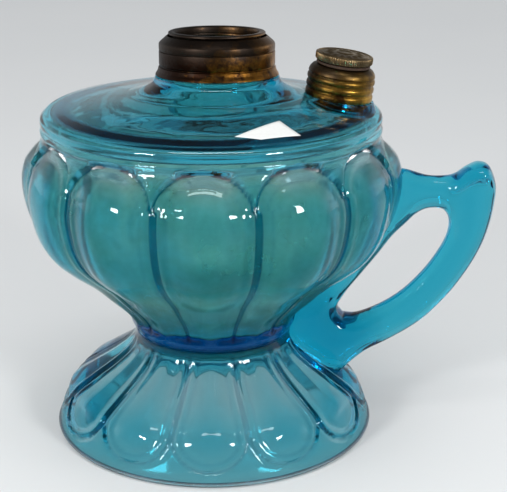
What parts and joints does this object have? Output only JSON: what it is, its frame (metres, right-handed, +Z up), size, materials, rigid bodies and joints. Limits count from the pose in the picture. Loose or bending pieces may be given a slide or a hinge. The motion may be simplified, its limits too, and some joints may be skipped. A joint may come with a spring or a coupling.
{
  "type": "finger lamp",
  "caption": "Footed glass oil lamp with looped font and foot, flat finger handle with a thumb rest, screw collar for a burner and a side filler with a knurled screw cap.",
  "frame": {"origin": "middle of the bounding box, on the plane that the foot stands on", "axes": "+X from the lamp's axis towards the handle and filler, +Y towards the back, +Z up"},
  "size_m": [0.13, 0.104, 0.1126],
  "materials": {
    "blue_glass": "fire-polished",
    "dark_brass": "dark patina",
    "warm_brass": "worn patina",
    "plaster": "matt",
    "washer_leather": "oiled"
  },
  "bodies": {
    "lamp": {"foot": "blue_glass", "waist_wafer": "blue_glass", "font": "blue_glass", "handle": "blue_glass", "burner_collar_shell": "dark_brass", "burner_collar_thread": "dark_brass", "burner_collar_plaster": "plaster", "filler_collar": "warm_brass", "filler_plaster": "plaster"},
    "cap_washer": {"filler_cap_washer": "washer_leather"},
    "cap": {"filler_cap_plug": "warm_brass", "filler_cap_knob": "dark_brass"}
  },
  "joints": [
    {"name": "cap_rise", "type": "slide", "parent": "lamp", "child": "cap_washer", "axis": [0.1305, 0, 0.9914], "range_m": [0, 0.00254]},
    {"name": "cap_turn", "type": "hinge", "parent": "cap_washer", "child": "cap", "pos_m": [0.02117, 0, 0.0942], "axis": [0.1305, 0, 0.9914], "range_deg": [0, 720]}
  ],
  "couplings": [
    {"joint": "cap_rise", "follows": "cap_turn", "m_per_rad": 0.0002021}
  ]
}
